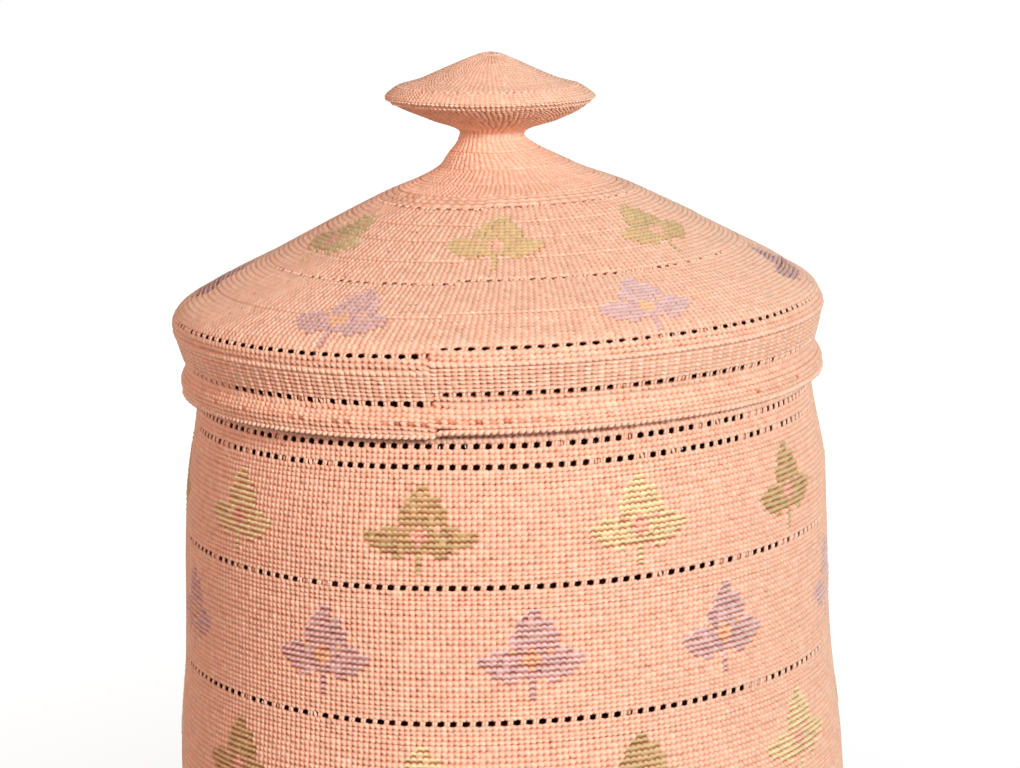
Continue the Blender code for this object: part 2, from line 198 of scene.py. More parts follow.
# In shares of the gap: where a filling strand starts and ends, where the closing ones lie from the
# hole's middle and how far they slant. Then how the share of closed holes grows towards the back
FILLER_SHARES = (0.62, 0.36)
CLOSER_SHARES = (-0.14, 0.14)
CLOSER_SLANT = 0.05
CLOSED_SHARE = 0.6
# How much thicker these strands are than a bar's, and how unlike its neighbours one is in thickness and
# in place
THICKER = 1.2
STRAND_SPREAD = 0.08
STRAND_SWAY = 0.03
# Any strand: its thickness next to its tips, the depth down to which it has no painted shade, how often
# the fibres repeat round it and along it, and the least radius that it is wound on
NEAR_TIP = 0.92
STRAND_CREST = 0.2 * MM
FIBRE_REPEATS = (2, 4)
LEAST_RADIUS = 2 * MM

# A rope's strand: how it dips from tip to tip, in shares of its radius and ROPE_DIP together, and how
# thick it is between the tips. Then how unlike its neighbours it is in size and in depth
ROPE_DIPS = np.array((1.0, 0.45, 0.1, 0.0, 0.1, 0.45, 1.0))
ROPE_DIP = 0.45 * MM
ROPE_THICKNESS = np.array((0.7, 0.95, 1.0, 0.95, 0.7))
ROPE_SPREAD = 0.06
ROPE_WANDER = 0.04 * MM

# The flower, from its top course down. Petals: how many courses, then their first and last stitch from
# the middle. Hearts and leaves: a course and its stitches. Stem: its courses. In a spread flower the
# courses that reach out to SPREAD_FROM are a stitch wider each way
PETALS = ((1, 0, 1), (1, -1, 1), (2, -2, 3), (3, -3, 4), (1, -6, 6), (2, -8, 8), (1, -7, 7),
          (1, -6, 6))
HEARTS = ((7, (-3, 0, 3)), (8, (-1, 0, 1)), (9, (-1, 0, 1)), (10, (0,)))
LEAVES = (12, (-4, -3, 3, 4))
STEM = (12, 13, 14, 15)
# Where the flowers of each band lie, in degrees, and which of them are spread
WALL_FLOWERS = {
    "wall_band_four": (-33.2, 2.8, 38.8, 74.8, 110.8, 146.8, 182.8, 218.8, 254.8, 290.8),
    "wall_band_three": (-51.9, -15.4, 21.0, 57.0, 92, 128, 164, 200, 236, 272),
    "wall_band_two": (-71.5, -32.6, 3.4, 38.8, 76.5, 112, 148, 184, 220, 254),
    "wall_band_one": (-52.8, -14.5, 22.3, 57.2, 94, 130, 166, 202, 238, 273)}
LOWER_FLOWERS = (-30.8, 27.6, 82, 142, 202, 268)
UPPER_FLOWERS = (-63, -3.6, 50, 112, 174, 236)
SPREAD_FLOWERS = (-14.5, 57.0, 130, 200)
SPREAD_FROM = 7
# How bright the crown's dyes are beside the wall's
CROWN_MAUVE = 0.88
CROWN_PALE = 0.85
CROWN_HEARTS = 0.9

# The skirt's lowest openwork row: the azimuths, in degrees, up to which and from which all its holes
# are shut, and the share of the others that are
SHUT_UNTIL = 9
SHUT_FROM = 340
SHUT_ELSEWHERE = 0.10

# The middle of the basket, which the lamps face
LAMP_TARGET = (0, 0, 0.12)


def linear(red, green, blue):
    """A colour given as screen values from 0 to 255, in the linear values that shaders use."""
    shares = np.array((red, green, blue)) / 255
    low = shares / 12.92
    high = ((shares + 0.055) / 1.055) ** 2.4
    return tuple(float(value) for value in np.where(shares <= 0.04045, low, high))


class BasketColours(PropertyGroup):
    """The dried grass and the dyes of the overlaid strands."""

    grass: FloatVectorProperty(name="Grass", description="Dried grass of the walls",
                               subtype="COLOR", default=linear(250, 205, 179))
    straw: FloatVectorProperty(name="Straw", description="Paler grass mixed into the walls",
                               subtype="COLOR", default=linear(255, 228, 204))
    inside: FloatVectorProperty(name="Inside", description="Grass of the inner faces",
                                subtype="COLOR", default=linear(206, 140, 112))
    olive: FloatVectorProperty(name="Olive", description="Dark flowers of the olive bands",
                               subtype="COLOR", default=linear(219, 198, 152))
    pale: FloatVectorProperty(name="Pale green", description="Light flowers of the olive bands",
                              subtype="COLOR", default=linear(248, 235, 190))
    mauve: FloatVectorProperty(name="Mauve", description="Flowers of the mauve bands",
                               subtype="COLOR", default=linear(236, 208, 206))
    pink: FloatVectorProperty(name="Pink", description="Hearts of the olive flowers",
                              subtype="COLOR", default=linear(255, 208, 186))
    orange: FloatVectorProperty(name="Orange", description="Hearts of the mauve flowers",
                                subtype="COLOR", default=linear(255, 214, 176))


class BasketWeave(PropertyGroup):
    """Sizes of the weave."""

    wall: FloatProperty(name="Wall", description="Thickness of the wall", unit="LENGTH",
                        default=1.4 * MM)
    knob_wall: FloatProperty(name="Knob wall", description="Thickness of the knob's wall",
                             unit="LENGTH", default=1.0 * MM)
    course: FloatProperty(name="Course", description="Height of one course of the inner faces",
                          unit="LENGTH", default=1.17 * MM)
    base_course: FloatProperty(name="Base course", description="Width of one course of the bottom, in "
                               "courses of the inner faces", default=1.6)
    hole: FloatProperty(name="Hole", description="Height of the holes of an openwork row",
                        unit="LENGTH", default=0.95 * MM)
    small_hole: FloatProperty(name="Small hole", description="Height of the crown's holes",
                              unit="LENGTH", default=0.7 * MM)
    strand: FloatProperty(name="Strand", description="Radius of an openwork strand",
                          unit="LENGTH", default=0.36 * MM)


class BasketStudio(PropertyGroup):
    """Lamps and backdrop."""

    key: FloatProperty(name="Key", description="Power of the main lamp", unit="POWER", default=46)
    fill: FloatProperty(name="Fill", description="Power of the left lamp", unit="POWER", default=18.5)
    sky: FloatProperty(name="Sky", description="Strength of the white room", default=0.09)


class Surface:
    """The outer surface of one body, addressed by azimuth, length along its outline and depth."""

    def __init__(self, stations, waves, drops, lean, sag, seam):
        self.seam = seam
        points = [np.array(station[1:], float) for station in stations]
        chords = [float(np.hypot(*(b - a))) for a, b in zip(points, points[1:])]
        slopes = [(b - a) / chord for a, b, chord in zip(points, points[1:], chords)]
        tangents = [slopes[0]]
        for before, after, low, high in zip(chords, chords[1:], slopes, slopes[1:]):
            tangents.append((low * after + high * before) / (before + after))
        tangents.append(slopes[-1])
        # A smooth curve through the stations, in one cubic piece from each to the next
        steps = np.linspace(0, 1, CURVE_POINTS)[:, None]
        curve = [points[0][None]]
        ends = [0]
        for index, chord in enumerate(chords):
            a, b = points[index], points[index + 1]
            leaving, arriving = tangents[index] * chord, tangents[index + 1] * chord
            piece = (a * (2 * steps ** 3 - 3 * steps ** 2 + 1) + b * (3 * steps ** 2 - 2 * steps ** 3)
                     + leaving * (steps ** 3 - 2 * steps ** 2 + steps)
                     + arriving * (steps ** 3 - steps ** 2))
            curve.append(piece[1:])
            ends.append(ends[-1] + len(piece) - 1)
        curve = np.concatenate(curve)
        self.lengths = np.concatenate(([0], np.cumsum(np.hypot(*np.diff(curve, axis=0).T))))
        self.radii, self.heights = curve.T
        along = np.gradient(curve, self.lengths, axis=0)
        along /= np.hypot(*along.T)[:, None]
        self.inward = np.stack((-along[:, 1], along[:, 0]))
        self.mark = {station[0]: self.lengths[end] for station, end in zip(stations, ends)}
        self.waves = waves
        self.drop_lengths = [self.mark[name] for name, drop in drops] or [0]
        self.drops = [drop * MM for name, drop in drops] or [0]
        self.lean_heights, self.leans = np.array(lean, float).T
        self.sag_heights, self.sags = np.array(sag, float).T

    def wind(self, azimuth, length, turn, evened=False):
        """Where a course of that mean length lies along the outline, a share of a turn from the seam."""
        evening = np.where(evened, np.clip(np.minimum(turn, 1 - turn) / EVENING_SHARE, 0, 1), 1)
        slip = (0.5 - turn) * evening * np.interp(length, self.drop_lengths, self.drops)
        for turns, height, phase, drift in self.waves:
            slip = slip + height * MM * np.sin(turns * azimuth + phase + drift * length / MM)
        fade = np.clip(length / WAVE_FADE, 0, 1) * np.clip((self.lengths[-1] - length) / WAVE_FADE, 0, 1)
        return length + slip * fade

    def radius(self, length):
        """The outer radius at a length."""
        return np.interp(length, self.lengths, self.radii)

    def place(self, azimuth, length, depth):
        """Points at azimuths, lengths and depths, as an array with x, y and z last."""
        radius = self.radius(length) + np.interp(length, self.lengths, self.inward[0]) * depth
        height = (np.interp(length, self.lengths, self.heights)
                  + np.interp(length, self.lengths, self.inward[1]) * depth)
        radius = np.maximum(radius, 0)
        lean = np.interp(height, self.lean_heights, self.leans)
        sag = np.interp(height, self.sag_heights, self.sags) * radius * np.sin(azimuth)
        return np.stack((radius * np.sin(azimuth) + lean, -radius * np.cos(azimuth), height + sag), -1)


def basket_surface():
    """The basket's outline, from the frame's nodes: the flat base, the turn and the wall."""
    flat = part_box("base_disc")[1].x
    turn_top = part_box("base_turn")[1].z
    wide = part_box("openwork_row_five")[1].x
    stations = [("centre", 0, MIDDLE_LIFT), ("half_way", flat / 2, HALF_WAY_LIFT),
                ("near_edge", flat - NEAR_EDGE, NEAR_EDGE_LIFT), ("flat_edge", flat, 0)]
    for step in (1, 2):
        angle = math.radians(30 * step)
        stations.append((f"turn_{step}", flat + (wide - flat) * math.sin(angle),
                         turn_top * (1 - math.cos(angle))))
    for row in BODY_ROWS:
        low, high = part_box("openwork_row_" + row)
        stations.append((row, high.x, (low.z + high.z) / 2))
        if row == "two":
            stations.append(("shoulder", SHOULDER_RADIUS, high.z + SHOULDER_RISE))
    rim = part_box("rim_band")[1].x - RIM_DRAW
    stations.append(("rim_foot", rim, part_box("rim_braid")[0].z))
    return Surface(stations, BASKET_WAVES, (), np.array(BASKET_LEAN) * MM, ((0, 0),), -math.pi)


def lid_surface():
    """The lid's outline, on the rim's top."""
    rim_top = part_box("rim_braid")[1].z
    stations = [(name, radius * MM, rim_top + rise * MM) for name, radius, rise in LID_STATIONS]
    lean = np.array(LID_LEAN) * MM + (rim_top, 0)
    sag = np.array(KNOB_SAG) * (MM, 1) + (rim_top, 0)
    return Surface(stations, LID_WAVES, LID_DROPS, lean, sag, JOG_AZIMUTH)


BASKET = basket_surface()
LID = lid_surface()


def fresh_grid(name, across, along, copies=1):
    """A flat grid, repeated side by side, and each vertex's copy, column and row in it."""
    bpy.ops.object.select_all(action="DESELECT")
    bpy.ops.mesh.primitive_grid_add(x_subdivisions=across, y_subdivisions=along, size=1)
    thing = bpy.context.object
    thing.name = thing.data.name = "grass_" + name
    spacing = 2
    if copies > 1:
        repeat = thing.modifiers.new("repeat", "ARRAY")
        repeat.count = copies
        repeat.use_relative_offset = False
        repeat.use_constant_offset = True
        repeat.constant_offset_displace = (spacing, 0, 0)
        bpy.ops.object.modifier_apply(modifier=repeat.name)
    flat = np.empty(len(thing.data.vertices) * 3)
    thing.data.vertices.foreach_get("co", flat)
    flat = flat.reshape(-1, 3)
    copy = np.rint(flat[:, 0] / spacing).astype(int)
    column = np.rint((flat[:, 0] - spacing * copy + 0.5) * across).astype(int)
    row = np.rint((flat[:, 1] + 0.5) * along).astype(int)
    return thing, copy, column, row


def shape_grid(thing, points, uvs, groove):
    """Move a grid's vertices to their places and write its UV map and groove depths."""
    mesh = thing.data
    mesh.vertices.foreach_set("co", points.astype(np.float32).ravel())
    corners = np.empty(len(mesh.loops), int)
    mesh.loops.foreach_get("vertex_index", corners)
    mesh.uv_layers.active.data.foreach_set("uv", uvs[corners].astype(np.float32).ravel())
    depths = mesh.attributes.new("groove", "FLOAT", "POINT")
    depths.data.foreach_set("value", groove.astype(np.float32))
    return corners.reshape(-1, 4)


def colour_faces(thing, colours):
    """Give each face its own grass colour."""
    rgba = np.concatenate((np.clip(colours, 0, 1), np.ones((len(colours), 1))), 1)
    shade = thing.data.attributes.new("stitch_colour", "FLOAT_COLOR", "FACE")
    shade.data.foreach_set("color", rgba.astype(np.float32).ravel())


def colour_ends(mesh):
    """Give the faces that close the two ends of a spiral the mean colour of the rest."""
    shade = mesh.attributes["stitch_colour"]
    rgba = np.empty(4 * len(mesh.polygons), np.float32)
    shade.data.foreach_get("color", rgba)
    rgba = rgba.reshape(-1, 4)
    blank = rgba[:, 3] == 0
    if blank.any():
        rgba[blank] = rgba[~blank].mean(0)
        shade.data.foreach_set("color", rgba.ravel())


def finish_piece(thing, surface, nodes, materials):
    """Close the seams, point the faces outwards and hang the piece on its body."""
    for material in materials:
        thing.data.materials.append(material)
    bpy.ops.object.mode_set(mode="EDIT")
    bpy.ops.mesh.select_all(action="SELECT")
    bpy.ops.mesh.remove_doubles(threshold=0.002 * MM)
    bpy.ops.mesh.delete_loose(use_verts=True, use_edges=True, use_faces=False)
    bpy.ops.mesh.select_all(action="SELECT")
    bpy.ops.mesh.fill_holes(sides=0)
    bpy.ops.mesh.select_all(action="SELECT")
    bpy.ops.mesh.normals_make_consistent(inside=False)
    bpy.ops.object.mode_set(mode="OBJECT")
    colour_ends(thing.data)
    bpy.ops.object.shade_smooth()
    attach(thing, "basket" if surface is BASKET else "lid")
    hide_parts(*nodes)


def grass_shades(random, shape, pale=0.5, spread=0.03):
    """Colours for an array of stitches: grass with some paler straw in it, each a little apart."""
    colours = bpy.context.scene.basket_colours
    share = (pale * random.random(shape) ** 1.5)[..., None]
    shade = np.array(colours.grass) * (1 - share) + np.array(colours.straw) * share
    return shade * (1 + spread * random.standard_normal(shape)[..., None])


def stitch_colours(random, shape, dyes, uneven, course, stitch, is_inner):
    """The colour of each face, by its course and stitch: grass or dye outside, plain grass inside."""
    shades = grass_shades(random, shape)
    if dyes is not None:
        tints = dyes * (1 + DYE_SPREAD * random.standard_normal(shape)[..., None])
        shades = np.where(dyes.any(-1)[..., None], tints, shades)
    shades = shades * np.where(np.arange(shape[1]) % 2, 1 - uneven, 1 + uneven)[:, None]
    inside = np.array(bpy.context.scene.basket_colours.inside)
    inner = inside * (1 + INNER_SPREAD * random.standard_normal(shape[1]))[:, None]
    return np.where(is_inner[:, None], inner[stitch], shades[course, stitch])


def weave(name, surface, start, stop, columns, courses, nodes, seed, kinds=PLAIN, dyes=None, jog=0,
          relief=1.0, wall=None, lean=0.12, tilt=0.11, uneven=0, ledge=0, back_step=6, holes=(0, 0),
          joined=(False, False), slot="twined_grass"):
    """Weave one closed shell between two lengths, from a list of the courses' relative heights.

    kinds and dyes give each stitch its form and its dye, by course and column. jog is how many
    courses lower each course ends than it starts. relief scales the depths, lean and tilt slant a
    stitch's sides and its top, and uneven makes every second one stand out. wall and ledge thicken
    the shell, and back_step is how long its inner faces are, in millimetres. holes tells which of the
    shell's two edges is scalloped round the holes of an openwork row, and joined which of them meets
    more of the same weave in a groove.
    """
    settings = bpy.context.scene.basket_weave
    wall = wall or settings.wall
    random = np.random.default_rng(seed)
    rows = len(courses)
    outer = LEVELS * rows
    backs = max(2, int(round((stop - start) / (back_step * MM))) + 1)
    along = outer + 1 + backs
    thing, _, column, row = fresh_grid(name, PARTS * columns, along)
    kinds = np.broadcast_to(kinds, (rows, columns))
    edges = start + (stop - start) * np.concatenate(([0], np.cumsum(courses))) / np.sum(courses)

    # Where each vertex belongs: first the rows of the outer face, then those of the inner one
    stitch = (column // PARTS) % columns
    part = column % PARTS
    loop = row % along
    is_outer = loop <= outer
    course = np.minimum(loop // LEVELS, rows - 1)
    level = np.where(loop == outer, 0, loop % LEVELS)
    kind = kinds[course, stitch]
    height = (edges[1:] - edges[:-1])[course]
    turn = (column / PARTS + ACROSS[part] - part / PARTS) / columns
    azimuth = turn * FULL_TURN + surface.seam

    # The outer face's rise and fall
    swell = 1 + DEPTH_SPREAD * random.standard_normal((rows, columns))
    nudge = RISE_SPREAD * random.standard_normal((rows, columns))
    sway = SWAY_SPREAD * random.standard_normal((rows, columns))
    waves = random.integers(*WAVES_IN_TURN, rows)
    phases = random.random(rows) * FULL_TURN
    row_wave = COURSE_WAVE * np.sin(waves[course] * azimuth + phases[course])
    at_end = (loop == 0) | (loop == outer)
    lift = np.where(kind == OVERLAID, OVERLAY[level, part], tilt * SLANT[level, part])
    lift = lift + nudge[course, stitch] + row_wave
    outward = np.where(loop == 0, -1, 1)
    scallop = SCALLOP * np.sin(math.pi * ACROSS[part])
    round_holes = -HOLE_CURVE * np.cos(math.pi * (column // PARTS + ACROSS[part]))
    scalloped = np.where(loop == 0, holes[0], holes[1])
    lift = np.where(at_end, outward * (scallop + scalloped * (round_holes + nudge[course, stitch])), lift)
    base = np.where(loop == outer, stop, edges[course] + UP[level] * height)

    # The outer face's depth
    depth = RELIEF[kind, level, part] * relief * MM * swell[course, stitch]
    depth = depth + uneven * MM * np.where(stitch % 2, 1, -1) * (level > 0)
    is_joined = at_end & np.where(loop == 0, joined[0], joined[1])
    depth = np.where(is_joined, JOINED_SHARE * depth, depth)
    is_rounded = at_end & (kind != OVERLAID) & ~is_joined
    depth = np.where(is_rounded, EDGE_DEPTH + EDGE_NOTCH * (part == 0), depth)
    shift = sway[course, stitch] - lean * (UP[level] - 0.5) * (level > 0)
    pitch = FULL_TURN / columns

    # The inner face, and both together
    inner_length = stop - INNER_STOP + (start - stop + 2 * INNER_STOP) * ((loop - outer - 1) / (backs - 1))
    near_end = (loop == outer + 1) | (loop == along - 1)
    ripple = INNER_RIPPLE * np.cos(FULL_TURN * ACROSS[part])
    inner_depth = wall * np.where(near_end, THIN_SHARE, 1) + ledge + ripple
    length = np.where(is_outer, base + lift * height, inner_length)
    depth = np.where(is_outer, depth, inner_depth)
    azimuth = azimuth + np.where(is_outer, shift * pitch, 0)
    length = surface.wind(azimuth, length, turn, ~is_outer | (jog == 0))

    # The seam, where each end of a spiral tucks its last courses under the other end
    step = LEVELS * jog
    if jog:
        vertex = np.empty((PARTS * columns + 1, along + 1), int)
        vertex[column, row] = np.arange(len(column))
        ease_ends(length, vertex, outer, step)
        tail = (column == 0) & (loop > outer - step) | (column == PARTS * columns) & (loop < step)
        tail = tail & is_outer
        azimuth = azimuth + np.where(column == 0, -TAIL_LENGTH, TAIL_LENGTH) * pitch * tail
        depth = depth + TAIL_DEPTH * tail
    points = surface.place(azimuth, length, depth)
    if jog:
        shared = np.arange(outer - step + 1)
        points[vertex[-1, shared + step]] = points[vertex[0, shared]]

    inner_v = (stop - inner_length) / settings.course + rows
    uvs = np.stack((column / PARTS, np.where(is_outer, row / LEVELS, inner_v)), 1)
    # The groove value drives painted shade: deeper outer vertices are painted darker, the inner faces
    # evenly
    groove = np.where(is_outer, np.clip(depth / DEEPEST, 0, 1), INNER_GROOVE)
    corners = shape_grid(thing, points, uvs, groove)
    face_row = row[corners].min(1)
    is_inner = face_row >= outer
    face_course = np.minimum(face_row // LEVELS, rows - 1)
    face_stitch = (column[corners].min(1) // PARTS) % columns
    colour_faces(thing, stitch_colours(random, (rows, columns), dyes, uneven, face_course, face_stitch,
                                       is_inner))
    thing.data.polygons.foreach_set("material_index", is_inner.astype(np.int32))
    finish_piece(thing, surface, nodes, (grass_material(), inside_material()))


def ease_ends(length, vertex, outer, step):
    """Bring the front rows at the spiral's end level with those, step rows lower, at its start."""
    front = length[vertex[:, :outer + 1]]
    gap = front[-1, step:] - front[0, :outer + 1 - step]
    ease = np.clip(1 - np.arange(len(vertex)) / EASING, 0, 1)[:, None] / 2
    rows = np.arange(outer + 1)
    front += ease * gap[np.minimum(rows, len(gap) - 1)]
    front -= ease[::-1] * gap[np.maximum(rows - step, 0)]
    length[vertex[:, :outer + 1]] = front
    length[vertex[:, -1]] = front[:, 0]


def flower_cells(surface, columns, courses, first, total, above, azimuths, petals, heart, jog=0):
    """Kinds and dyes for the courses from first on, of a band of total courses with flowers.

    petals holds one dye for each azimuth in turn.
    """
    kinds = np.zeros((courses, columns), int)
    dyes = np.zeros((courses, columns, 3))
    for index, azimuth in enumerate(azimuths):
        turn = (math.radians(azimuth) - surface.seam) / FULL_TURN % 1
        middle = int(round(turn * columns - 0.5))
        petal = petals[index % len(petals)]
        spread = azimuth in SPREAD_FLOWERS
        cells = {}
        down = 0
        for count, left, right in PETALS:
            wider = spread and right >= SPREAD_FROM
            for _ in range(count):
                cells.update({(down, across): petal for across in range(left - wider, right + 1 + wider)})
                down += 1
        cells.update({(down, 0): petal for down in STEM})
        cells.update({(LEAVES[0], across): petal for across in LEAVES[1]})
        cells.update({(down, across): heart for down, places in HEARTS for across in places})
        for (down, across), dye in cells.items():
            turns, column = divmod(middle + across, columns)
            course = total - 1 - above - down - first - turns * jog
            if 0 <= course < courses:
                kinds[course, column] = OVERLAID
                dyes[course, column] = dye
    return kinds, dyes


def strands(name, surface, places, forms, nodes, seed, sides=6, flat=0.85,
            pale=0.5):
    """Lay a row of separate strands on a surface.

    places lists each strand's share of a turn from the seam and its length along the outline. forms
    holds the form of each: lists of sideways, upward and inward offsets and radii, ring by ring, in
    metres. A strand's tips are points.
    """
    random = np.random.default_rng(seed)
    places = np.asarray(places, float)
    forms = np.asarray(forms, float)
    rings = forms.shape[2]
    thing, copy, column, row = fresh_grid(name, sides, rings - 1, len(places))
    path = forms[:, :3]
    ahead = np.gradient(path, axis=2)
    ahead[:, 2] = 0
    ahead /= np.maximum(np.hypot(ahead[:, 0], ahead[:, 1]), 1e-9)[:, None]
    angle = FULL_TURN * column / sides
    radius = forms[copy, 3, row]
    sideways = path[copy, 0, row] + radius * np.cos(angle) * ahead[copy, 1, row]
    upward = path[copy, 1, row] - radius * np.cos(angle) * ahead[copy, 0, row]
    inward = path[copy, 2, row] + radius * np.sin(angle) * flat
    turn, length = places[copy].T
    azimuth = turn * FULL_TURN + surface.seam + sideways / np.maximum(surface.radius(length), LEAST_RADIUS)
    points = surface.place(azimuth, surface.wind(azimuth, length + upward, turn), inward)
    round_it, along_it = FIBRE_REPEATS
    uvs = np.stack((column / sides * round_it, row / (rings - 1) * along_it + copy), 1)
    # Painted shade: the parts of a strand deeper than its crest are painted darker
    groove = np.clip((inward - STRAND_CREST) / DEEPEST, 0, 1)
    corners = shape_grid(thing, points, uvs, groove)
    shades = grass_shades(random, (len(places),), pale)
    colour_faces(thing, shades[copy[corners[:, 0]]])
    finish_piece(thing, surface, nodes, (strand_material(),))


def strand_form(sideways, rise, depth, radius):
    """One strand's offsets, evenly spaced along it, with its tips drawn to points."""
    radii = np.full(len(depth), radius, float)
    radii[[1, -2]] *= NEAR_TIP
    radii[[0, -1]] = 0
    return np.stack((np.interp(np.linspace(0, 1, len(depth)), np.linspace(0, 1, len(sideways)), sideways),
                     np.linspace(-rise, rise, len(depth)), np.array(depth, float), radii))


def openwork(name, surface, station, holes, hole, nodes, seed, shares=LEANING_SHARES, filled=0.02):
    """An openwork row: a bar of two strands over a third between each two holes.

    A share of the holes are filled, and two strands close most of those at the back.
    """
    radius = bpy.context.scene.basket_weave.strand
    random = np.random.default_rng(seed)
    length = surface.mark[station]
    gap = FULL_TURN / holes * surface.radius(length)
    places = []
    forms = []
    for index in range(holes):
        turn = (index + 0.5) / holes
        slack = STRAND_SWAY * random.standard_normal((2, 2))
        thick = radius * (1 + STRAND_SPREAD * random.standard_normal(4))
        ends = (np.array(shares) + slack) * gap
        bar = [(ends[0], FIRST_DEPTH, thick[0]), (ends[1], 0, thick[1]),
               (ends.mean(0), THIRD_DEPTH, thick[2])]
        if random.random() < filled:
            bar.append((np.array(FILLER_SHARES) * gap, FILLER_DEPTH, thick[3] * THICKER))
        if random.random() < CLOSED_SHARE - CLOSED_SHARE * math.cos(turn * FULL_TURN + surface.seam):
            middle = (0.5 + STRAND_SWAY * random.standard_normal()) * gap
            slant = CLOSER_SLANT * gap
            for share in CLOSER_SHARES:
                across = middle + share * gap
                bar.append(((across - slant, across + slant), CLOSER_DEPTH, thick[3] * THICKER))
        for sideways, deeper, strand in bar:
            places.append((turn, length))
            forms.append(strand_form(sideways, hole / 2 + BAR_REACH, BAR_DEPTHS + deeper, strand))
    strands(name, surface, places, forms, nodes, seed, sides=4)


def rope(name, surface, length, count, reach, rise, radius, proud, nodes, seed, pale=0.5):
    """A row of slanted strands that lie over each other like the lay of a rope.

    Each goes reach gaps to each side and rise up and down, and proud lifts it out of the surface.
    """
    random = np.random.default_rng(seed)
    gap = FULL_TURN / count * surface.radius(length)
    places = []
    forms = []
    for index in range(count):
        wide = reach * gap * (1 + ROPE_SPREAD * random.standard_normal())
        thick = radius * (1 + ROPE_SPREAD * random.standard_normal())
        depth = ROPE_DIPS * (radius + ROPE_DIP) - proud + ROPE_WANDER * random.standard_normal()
        form = strand_form((wide, -wide), rise, depth, thick)
        form[3, 1:-1] = thick * ROPE_THICKNESS
        places.append(((index + 0.5) / count, length))
        forms.append(form)
    strands(name, surface, places, forms, nodes, seed, flat=0.8, pale=pale)


# Painted shade: how the grass darkens towards the bottom of a groove
GROOVE_SHADE = ((0.04, (1, 1, 1, 1)), (0.22, (0.96, 0.86, 0.81, 1)), (0.50, (0.86, 0.63, 0.55, 1)),
                  (0.76, (0.55, 0.30, 0.24, 1)), (1.0, (0.17, 0.07, 0.05, 1)))


def feed(tree, socket, value):
    """Link an input from another socket, or set it to a value."""
    if isinstance(value, bpy.types.NodeSocket):
        tree.links.new(value, socket)
    else:
        socket.default_value = value


def add_node(tree, kind, operation=None, inputs=()):
    """A new shader node, its inputs fed from sockets or values by name or number."""
    node = tree.nodes.new("ShaderNode" + kind)
    if operation:
        node.operation = operation
    for key, value in dict(inputs).items():
        feed(tree, node.inputs[key], value)
    return node


def reckon(tree, operation, *values):
    """What a math node makes of sockets and numbers."""
    return add_node(tree, "Math", operation, enumerate(values)).outputs["Value"]


def fibre_group():
    """Fine lines along the grass: a height for bump and a tone for colour."""
    name = "grass_fibre"
    if name in bpy.data.node_groups:
        return bpy.data.node_groups[name]
    group = bpy.data.node_groups.new(name, "ShaderNodeTree")
    for label, kind in (("Vector", "NodeSocketVector"), ("Scale", "NodeSocketFloat")):
        group.interface.new_socket(label, in_out="INPUT", socket_type=kind)
    for label in ("Height", "Tone"):
        group.interface.new_socket(label, in_out="OUTPUT", socket_type="NodeSocketFloat")
    given = group.nodes.new("NodeGroupInput").outputs
    made = group.nodes.new("NodeGroupOutput").inputs
    stretch = add_node(group, "VectorMath", "MULTIPLY", {0: given["Vector"], 1: (1.2, 9.0, 1.0)})
    fine = add_node(group, "TexNoise", inputs={"Vector": stretch.outputs["Vector"],
                                               "Scale": given["Scale"], "Detail": 3})
    blotch = add_node(group, "TexNoise", inputs={"Vector": given["Vector"], "Scale": 0.35, "Detail": 2})
    feed(group, made["Height"], fine.outputs["Fac"])
    feed(group, made["Tone"], reckon(group, "ADD", fine.outputs["Fac"], blotch.outputs["Fac"]))
    return group


def multiply_colours(tree, factor, first, second):
    """A mix of two colours, the first multiplied by the second."""
    mix = add_node(tree, "Mix")
    mix.data_type = "RGBA"
    mix.blend_type = "MULTIPLY"
    for key, value in (("Factor", factor), ("A", first), ("B", second)):
        feed(tree, mix.inputs[key], value)
    return mix.outputs["Result"]


def attribute(tree, name, output):
    """One of a mesh's own attributes as a socket."""
    node = add_node(tree, "Attribute")
    node.attribute_name = name
    return node.outputs[output]


def grass_look(name, fibre_scale, bump_distance, groove_dark, rough, inside=False):
    """Dried grass: each stitch's own colour, fibres, and painted shade in the grooves."""
    if name in bpy.data.materials:
        return bpy.data.materials[name]
    material = bpy.data.materials.new(name)
    material.use_nodes = True
    tree = material.node_tree
    uv = add_node(tree, "TexCoord").outputs["UV"]
    fibre = add_node(tree, "Group")
    fibre.node_tree = fibre_group()
    feed(tree, fibre.inputs["Vector"], uv)
    feed(tree, fibre.inputs["Scale"], fibre_scale)
    tone = add_node(tree, "MapRange", inputs={"Value": fibre.outputs["Tone"], "From Min": 0.6,
                                              "From Max": 1.4, "To Min": 0.90, "To Max": 1.08})
    toned = multiply_colours(tree, 1.0, attribute(tree, "stitch_colour", "Color"), tone.outputs["Result"])
    dark = add_node(tree, "ValToRGB", inputs={"Fac": attribute(tree, "groove", "Fac")})
    stops = dark.color_ramp.elements
    for position, _ in GROOVE_SHADE[1:-1]:
        stops.new(position)
    for stop, (position, colour) in zip(stops, GROOVE_SHADE):
        stop.position = position
        stop.color = colour
    # Painted shade: the colour darkens with the groove value, so deeper parts of the weave are painted
    # darker
    groove_shaded = multiply_colours(tree, groove_dark, toned, dark.outputs["Color"])
    height = fibre.outputs["Height"]
    if inside:
        height = stitch_height(tree, uv, height)
    bump = add_node(tree, "Bump", inputs={"Strength": 0.6, "Distance": bump_distance, "Height": height})
    finish = (("Base Color", groove_shaded), ("Roughness", rough), ("Specular IOR Level", 0.15),
              ("Normal", bump.outputs["Normal"]))
    for key, value in finish:
        feed(tree, tree.nodes["Principled BSDF"].inputs[key], value)
    return material


